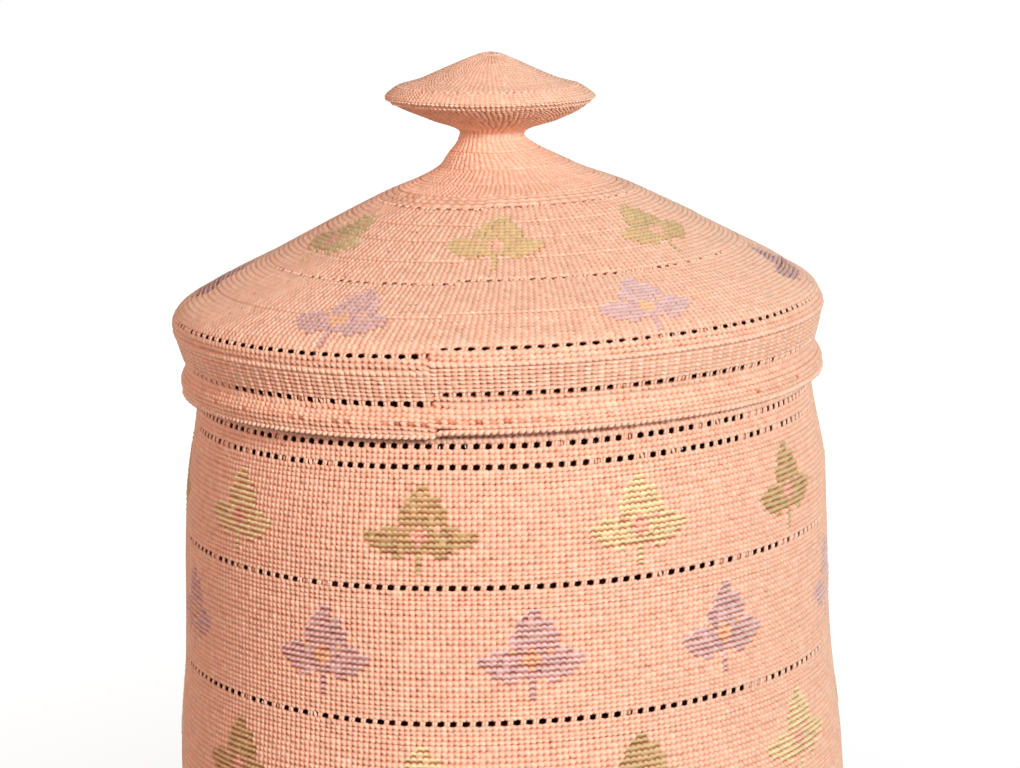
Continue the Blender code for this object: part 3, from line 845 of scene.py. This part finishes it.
def stitch_height(tree, uv, fibre):
    """The inner faces' stitches: a rounded bump in each unit square of the UV map."""
    parts = add_node(tree, "SeparateXYZ", inputs={"Vector": uv})
    waves = []
    for axis in ("X", "Y"):
        wave = reckon(tree, "SINE", reckon(tree, "MULTIPLY", parts.outputs[axis], math.pi))
        waves.append(reckon(tree, "ABSOLUTE", wave))
    return reckon(tree, "MULTIPLY_ADD", fibre, 0.2, reckon(tree, "MULTIPLY", *waves))


def grass_material():
    """The twined grass of the outer faces."""
    return grass_look("woven_grass", fibre_scale=2.2, bump_distance=0.05 * MM, groove_dark=1.0,
                      rough=0.62)


def inside_material():
    """The same grass on the inner faces, whose stitches are bumps."""
    return grass_look("woven_grass_inside", fibre_scale=2.2, bump_distance=0.35 * MM, groove_dark=0.3,
                      rough=0.72, inside=True)


def strand_material():
    """The separate strands of openwork and ropes."""
    return grass_look("grass_strands", fibre_scale=2.6, bump_distance=0.05 * MM, groove_dark=0.8,
                      rough=0.58)


class BASKET_OT_base(Operator):
    """Weave the round bottom and the turn up into the wall"""

    bl_idname = "basket.base"
    bl_label = "Base"

    def execute(self, context):
        settings = context.scene.basket_weave
        flat = BASKET.mark["flat_edge"]
        seam = 0.1 * MM
        stops = [start * MM for start, columns in BASE_RINGS[1:]] + [flat - seam]
        for index, ((start, columns), stop) in enumerate(zip(BASE_RINGS, stops)):
            start = start * MM
            courses = [1] * max(2, round((stop - start) / (settings.base_course * settings.course)))
            weave(f"base_ring_{index + 1}", BASKET, start, stop, columns, courses, ["base_disc"],
                  seed=10 + index)
        stop = BASKET.mark["five"] - settings.hole / 2
        weave("base_turn", BASKET, flat + seam, stop, WALL_COLUMNS, [1] * 8, ["base_turn"], seed=20,
              holes=(0, 1))
        return {"FINISHED"}


class BASKET_OT_bands(Operator):
    """Weave the four flowered bands of the wall"""

    bl_idname = "basket.bands"
    bl_label = "Flowered bands"

    def execute(self, context):
        dyes = context.scene.basket_colours
        olive = [np.array(dyes.olive), np.array(dyes.pale)]
        mauve = [np.array(dyes.mauve)]
        bands = (("wall_band_four", "five", "four", mauve, dyes.orange),
                 ("wall_band_three", "four", "three", olive, dyes.pink),
                 ("wall_band_two", "three", "two", mauve, dyes.orange),
                 ("wall_band_one", "two", "one", olive[::-1], dyes.pink))
        half = context.scene.basket_weave.hole / 2
        for index, (name, below, above, petals, heart) in enumerate(bands):
            count = COURSES[name]
            kinds, tints = flower_cells(BASKET, WALL_COLUMNS, count, 0, count, PLAIN_ABOVE[name],
                                        WALL_FLOWERS[name], petals, np.array(heart))
            heights = np.ones(count)
            heights[-PLAIN_ABOVE[name] - FLOWER_COURSES:-PLAIN_ABOVE[name]] = FLOWER_RISE
            foot = BASKET.mark[below] + half
            head = BASKET.mark[above] - half
            # The plain courses above the flowers are a piece of their own, joined on in a groove
            cut = count - PLAIN_ABOVE[name]
            joint = foot + (head - foot) * heights[:cut].sum() / heights.sum()
            weave(name, BASKET, foot, joint, WALL_COLUMNS, heights[:cut], [name], seed=30 + index,
                  kinds=kinds[:cut], dyes=tints[:cut], back_step=14, holes=(1, 0), joined=(False, True))
            weave(name + "_head", BASKET, joint, head, WALL_COLUMNS, heights[cut:], [name],
                  seed=34 + index, kinds=kinds[cut:], dyes=tints[cut:], holes=(0, 1),
                  joined=(True, False))
        return {"FINISHED"}


class BASKET_OT_rim(Operator):
    """Weave the narrow bands under the lid and the braided rim"""

    bl_idname = "basket.rim"
    bl_label = "Neck and rim"

    def execute(self, context):
        half = context.scene.basket_weave.hole / 2
        weave("neck_band", BASKET, BASKET.mark["one"] + half, BASKET.mark["nought"] - half,
              WALL_COLUMNS, [1] * 3, ["neck_band"], seed=40, holes=(1, 1))
        top = BASKET.mark["rim_foot"] + 0.2 * MM
        braid = BASKET.mark["rim_foot"] - 0.1 * MM
        weave("rim_band", BASKET, BASKET.mark["nought"] + half, top, WALL_COLUMNS, [1] * 4,
              ["rim_band"], seed=41, holes=(1, 0))
        rope("rim_braid", BASKET, braid, WALL_COLUMNS // 2, reach=0.8, rise=0.7 * MM,
             radius=0.62 * MM, proud=0.1 * MM, nodes=["rim_braid"], seed=42)
        return {"FINISHED"}


class BASKET_OT_openwork(Operator):
    """Lay the strands of the six openwork rows of the wall"""

    bl_idname = "basket.openwork"
    bl_label = "Openwork rows"

    def execute(self, context):
        hole = context.scene.basket_weave.hole
        for index, row in enumerate(BODY_ROWS):
            name = "openwork_row_" + row
            openwork(name, BASKET, row, WALL_COLUMNS // 2, hole, [name], seed=50 + index)
        return {"FINISHED"}


def small_half(context):
    """Half the height of the lid's small holes."""
    return context.scene.basket_weave.small_hole / 2


class LID_OT_skirt(Operator):
    """Weave the part of the lid that drops over the rim, with its ridge and braided edge"""

    bl_idname = "lid.skirt"
    bl_label = "Skirt"

    def execute(self, context):
        mark = LID.mark
        half = context.scene.basket_weave.hole / 2
        columns = SKIRT_COLUMNS
        foot = mark["edge"] + 1.2 * MM
        top = mark["skirt_row"] - half
        waist = (foot + top) / 2
        ridge = mark["ridge"] - 0.75 * MM
        brim = mark["brim_row"] - small_half(context)
        shut = self.closed_row(columns, seed=59)
        core = mark["edge"] + 0.2 * MM
        braid = mark["edge"] + 0.62 * MM
        cord = ridge + 0.72 * MM
        spiral = {"jog": SKIRT_JOG, "back_step": 1.5}
        weave("lid_edge_core", LID, core, foot, columns, [1], ["lid_edge_braid"], seed=60,
              wall=1.1 * MM, slot="braided_grass")
        rope("lid_edge_braid", LID, braid, columns, reach=-0.62, rise=0.55 * MM, radius=0.44 * MM,
             proud=0.02 * MM, nodes=["lid_edge_braid"], seed=61)
        weave("lid_skirt_lower", LID, foot, waist, columns, [1] * 3, ["lid_skirt_lower"], seed=62,
              kinds=shut[:3], lean=0.3, **spiral)
        weave("lid_waist", LID, waist, top, columns, [1] * 3, ["lid_waist"], seed=63, kinds=shut[3:],
              lean=0.3, ledge=0.6 * MM, holes=(0, 1), **spiral)
        openwork("openwork_row_skirt", LID, "skirt_row", columns // 2, half * 2, ["openwork_row_skirt"],
                 seed=64, shares=WIDE_SHARES)
        weave("lid_skirt_upper", LID, mark["skirt_row"] + half, ridge, columns, [1] * 6,
              ["lid_skirt_upper"], seed=65, relief=0.88, lean=-0.15, uneven=0.05, holes=(1, 0),
              **spiral)
        rope("lid_ridge_cord", LID, cord, columns, reach=1.0, rise=0.60 * MM, radius=0.54 * MM,
             proud=-0.2 * MM, nodes=["lid_ridge_cord"], seed=66, pale=0.2)
        weave("lid_shoulder", LID, ridge, brim, columns, [1.5, 1.2, 1.2], ["lid_shoulder"], seed=67,
              lean=0.3, holes=(0, 1), **spiral)
        return {"FINISHED"}

    def closed_row(self, columns, seed):
        """The six courses below the skirt's openwork row: kinds, with a row of shut holes.

        That row runs level past the jog, so behind it the row lies in a higher course.
        """
        across = np.arange(0, columns, 2)
        azimuths = math.degrees(LID.seam) + (across + 0.5) * 360 / columns
        all_shut = (azimuths < SHUT_UNTIL) | (azimuths > SHUT_FROM)
        draws = np.random.default_rng(seed).random(len(across))
        shut = draws < np.where(all_shut, 1, SHUT_ELSEWHERE)
        kinds = np.zeros((6, columns), int)
        kinds[np.where(across < columns / 2, 1, 2), across] = np.where(shut, CLOSED, PLAIN)
        return kinds


class LID_OT_crown(Operator):
    """Weave the dome with its two rounds of flowers and its openwork rows"""

    bl_idname = "lid.crown"
    bl_label = "Crown"

    def execute(self, context):
        mark = LID.mark
        dyes = context.scene.basket_colours
        small = small_half(context)
        openwork("openwork_row_brim", LID, "brim_row", SKIRT_COLUMNS // 2, small * 2,
                 ["openwork_row_brim"], seed=70, shares=SPREADING_SHARES)
        openwork("openwork_row_crown", LID, "crown_row", CROWN_COLUMNS // 2, small * 2,
                 ["openwork_row_crown"], seed=71, filled=0.35)
        openwork("openwork_row_peak", LID, "peak_row", PEAK_COLUMNS // 2, small * 2,
                 ["openwork_row_peak"], seed=72, filled=0.35)
        olive = np.array(dyes.olive)
        self.band("crown_lower", mark["brim_row"] + small, mark["crown_row"] - small, LOWER_RINGS,
                  above=2, azimuths=LOWER_FLOWERS, petals=[np.array(dyes.mauve) * CROWN_MAUVE],
                  heart=np.array(dyes.orange) * CROWN_HEARTS, node="crown_band_lower", seed=73)
        self.band("crown_upper", mark["crown_row"] + small, mark["peak_row"] - small, UPPER_RINGS,
                  above=3, azimuths=UPPER_FLOWERS,
                  petals=[np.array(dyes.pale) * CROWN_PALE, olive, olive],
                  heart=np.array(dyes.pink) * CROWN_HEARTS, node="crown_band_upper", seed=76)
        return {"FINISHED"}

    def band(self, name, start, stop, rings, above, azimuths, petals, heart, node, seed):
        """One flowered band of the dome, in rings with fewer warps towards the knob."""
        total = sum(count for count, columns in rings)
        first = 0
        for index, (count, columns) in enumerate(rings):
            low = start + (stop - start) * first / total
            high = start + (stop - start) * (first + count) / total
            kinds, tints = flower_cells(LID, columns, count, first, total, above, azimuths, petals,
                                        heart, CROWN_JOG)
            kinds[kinds == PLAIN] = BEADED
            weave(f"{name}_{index + 1}", LID, low, high, columns, [1] * count, [node],
                  seed=seed + index, kinds=kinds, dyes=tints, jog=CROWN_JOG, relief=0.95, lean=0.6,
                  tilt=0.2, back_step=5, holes=(index == 0, index == len(rings) - 1))
            first += count


class LID_OT_knob(Operator):
    """Weave the peak of the dome and the knob on its neck"""

    bl_idname = "lid.knob"
    bl_label = "Peak and knob"

    def execute(self, context):
        mark = LID.mark
        settings = context.scene.basket_weave
        peak = mark["peak_row"] + small_half(context)
        neck_foot = (mark["peak_foot"] + mark["neck"]) / 2
        neck_top = (mark["neck"] + mark["knob_under"]) / 2
        under = mark["knob_under"] + 1.5 * MM
        band = mark["knob_edge"] - 2.4 * MM
        brow = mark["knob_edge"] + 3.6 * MM
        tip = mark["knob_tip"] + 1.2 * MM
        # Each ring starts where the last one stops: stop, stitches, kind, course, relief and node
        rings = (("peak_1", peak + 4.4 * MM, 72, PLAIN, 1.45 * MM, 0.8, "crown_peak"),
                 ("peak_2", peak + 9.5 * MM, 124, BEADED, 0.95 * MM, 1.0, "crown_peak"),
                 ("peak_3", peak + 15 * MM, 88, BEADED, 0.95 * MM, 1.0, "crown_peak"),
                 ("peak_4", neck_foot, 60, BEADED, 0.9 * MM, 0.9, "crown_peak"),
                 ("knob_neck", neck_top, 44, BEADED, 0.9 * MM, 0.9, "knob_neck"),
                 ("knob_under_1", under, 64, PLAIN, 0.9 * MM, 1.2, "knob_underside"),
                 ("knob_under_2", band, 104, PLAIN, 0.9 * MM, 1.2, "knob_underside"),
                 ("knob_edge", brow, KNOB_COLUMNS, PLAIN, 0.8 * MM, 0.75, "knob_edge"),
                 ("knob_top_1", brow + 1.0 * MM, 80, PRICKED, 1.0 * MM, 0.9, "knob_top"),
                 ("knob_top_2", brow + 5.0 * MM, 104, PLAIN, 0.85 * MM, 0.8, "knob_top"),
                 ("knob_top_3", tip - 4.5 * MM, 80, PLAIN, 0.85 * MM, 0.8, "knob_top"),
                 ("knob_top_4", tip, 48, BEADED, 0.85 * MM, 1.0, "knob_top"),
                 ("knob_tip", mark["apex"], 24, BEADED, 0.85 * MM, 0.9, "knob_top"))
        start = peak
        for index, (name, stop, columns, kind, course, relief, node) in enumerate(rings):
            courses = [1] * max(1, round((stop - start) / course))
            wall = settings.wall if node == "crown_peak" else settings.knob_wall
            weave(name, LID, start, stop, columns, courses, [node], seed=80 + index, kinds=kind,
                  relief=relief, wall=wall, lean=0.2, back_step=0.8,
                  slot="braided_grass" if node == "knob_edge" else "twined_grass")
            start = stop
        for index, rise in enumerate((-1.75, -0.35)):
            rope(f"knob_ridge_{index + 1}", LID, mark["knob_edge"] + rise * MM, KNOB_COLUMNS, reach=0.62,
                 rise=0.18 * MM, radius=0.26 * MM, proud=0.04 * MM, nodes=["knob_edge"],
                 seed=95 + index, pale=0.9)
        return {"FINISHED"}


class STUDIO_OT_stage(Operator):
    """Set the floor, the white room, the lamps and the camera"""

    bl_idname = "basket.stage"
    bl_label = "Stage"

    def execute(self, context):
        studio = context.scene.basket_studio
        build_world(context.scene, studio.sky)
        build_floor()
        add_lamp("key_lamp", place=(1.08, -1.80, 0.88), size=0.42, power=studio.key, colour=(1, 1, 1))
        add_lamp("fill_lamp", place=(-1.42, -1.14, 0.98), size=0.80, power=studio.fill,
                 colour=(1, 0.67, 0.57))
        add_camera(context.scene)
        context.scene.view_settings.view_transform = "Standard"
        return {"FINISHED"}


def seen_rays(tree):
    """1 for what the camera sees, also in a shine or through something clear, and 0 for other light."""
    rays = add_node(tree, "LightPath").outputs
    shine = reckon(tree, "MAXIMUM", rays["Is Glossy Ray"], rays["Is Transmission Ray"])
    return reckon(tree, "MAXIMUM", rays["Is Camera Ray"], shine)


def build_world(scene, strength):
    """A white room: white to the camera, softer as light."""
    world = bpy.data.worlds.new("white_room")
    scene.world = world
    world.use_nodes = True
    tree = world.node_tree
    level = add_node(tree, "MapRange", inputs={"Value": seen_rays(tree), "To Min": strength,
                                               "To Max": 1})
    background = tree.nodes["Background"].inputs
    feed(tree, background["Color"], (1, 1, 1, 1))
    feed(tree, background["Strength"], level.outputs["Result"])


def build_floor():
    """A pale floor that shows white to the camera and keeps the basket's shadow."""
    bpy.ops.object.select_all(action="DESELECT")
    bpy.ops.mesh.primitive_circle_add(vertices=96, radius=3, fill_type="NGON", location=(0, 0, 0))
    floor = bpy.context.object
    floor.name = "floor"
    floor.data.transform(Matrix.Translation((0, 0, -0.2 * MM)))
    material = bpy.data.materials.new("pale_floor")
    material.use_nodes = True
    tree = material.node_tree
    place = add_node(tree, "TexCoord").outputs["Object"]
    distance = add_node(tree, "VectorMath", "LENGTH", {0: place}).outputs["Value"]
    glow = add_node(tree, "MapRange", inputs={"Value": distance, "From Min": 0.10, "From Max": 0.32,
                                              "To Min": 0.84, "To Max": 1.0})
    finish = (("Base Color", (0.3, 0.3, 0.3, 1)), ("Roughness", 0.9), ("Specular IOR Level", 0.1),
              ("Emission Color", (1, 1, 1, 1)),
              ("Emission Strength", reckon(tree, "MULTIPLY", glow.outputs["Result"], seen_rays(tree))))
    for key, value in finish:
        feed(tree, tree.nodes["Principled BSDF"].inputs[key], value)
    floor.data.materials.append(material)


def add_lamp(name, place, size, power, colour):
    """A square soft lamp that faces the middle of the basket."""
    data = bpy.data.lights.new(name, "AREA")
    data.size = size
    data.energy = power
    data.color = colour
    lamp = bpy.data.objects.new(name, data)
    bpy.context.scene.collection.objects.link(lamp)
    facing = (Vector(LAMP_TARGET) - Vector(place)).to_track_quat("-Z", "Y")
    lamp.matrix_world = Matrix.Translation(place) @ facing.to_matrix().to_4x4()


def add_camera(scene):
    """The photograph's viewpoint: level with the lid's brim and a little above, turned slightly."""
    place = Vector((0, -644.4, 237.2)) * MM
    pitch, yaw, roll = math.radians(10.66), math.radians(0.14), math.radians(-2.22)
    ahead = Vector((math.sin(yaw) * math.cos(pitch), math.cos(yaw) * math.cos(pitch), -math.sin(pitch)))
    level = Vector((math.cos(yaw), -math.sin(yaw), 0))
    upright = level.cross(ahead)
    right = math.cos(roll) * level + math.sin(roll) * upright
    up = -math.sin(roll) * level + math.cos(roll) * upright
    data = bpy.data.cameras.new("camera")
    data.sensor_width = 36
    data.lens = 104.87
    data.clip_start = 0.05
    camera = bpy.data.objects.new("camera", data)
    scene.collection.objects.link(camera)
    camera.matrix_world = Matrix.Translation(place) @ Matrix((right, up, -ahead)).transposed().to_4x4()
    scene.camera = camera


class BASKET_PT_panel(Panel):
    """The steps that weave the basket, in order"""

    bl_label = "Basket"
    bl_idname = "BASKET_PT_panel"
    bl_space_type = "VIEW_3D"
    bl_region_type = "UI"
    bl_category = "Basket"

    def draw(self, context):
        for group in ("basket_colours", "basket_weave", "basket_studio"):
            settings = getattr(context.scene, group)
            for name in settings.__annotations__:
                self.layout.prop(settings, name)
        for step in STEPS:
            self.layout.operator(step.bl_idname)


GROUPS = (("basket_colours", BasketColours), ("basket_weave", BasketWeave),
          ("basket_studio", BasketStudio))
STEPS = (BASKET_OT_base, BASKET_OT_bands, BASKET_OT_rim, BASKET_OT_openwork, LID_OT_skirt,
         LID_OT_crown, LID_OT_knob, STUDIO_OT_stage)


def register():
    for name, group in GROUPS:
        bpy.utils.register_class(group)
        setattr(bpy.types.Scene, name, PointerProperty(type=group))
    for step in STEPS:
        bpy.utils.register_class(step)
    bpy.utils.register_class(BASKET_PT_panel)


def unregister():
    bpy.utils.unregister_class(BASKET_PT_panel)
    for step in reversed(STEPS):
        bpy.utils.unregister_class(step)
    for name, group in GROUPS:
        delattr(bpy.types.Scene, name)
        bpy.utils.unregister_class(group)


def main():
    register()
    bpy.ops.basket.base()
    bpy.ops.basket.bands()
    bpy.ops.basket.rim()
    bpy.ops.basket.openwork()
    bpy.ops.lid.skirt()
    bpy.ops.lid.crown()
    bpy.ops.lid.knob()
    bpy.ops.basket.stage()


if __name__ == "__main__":
    main()
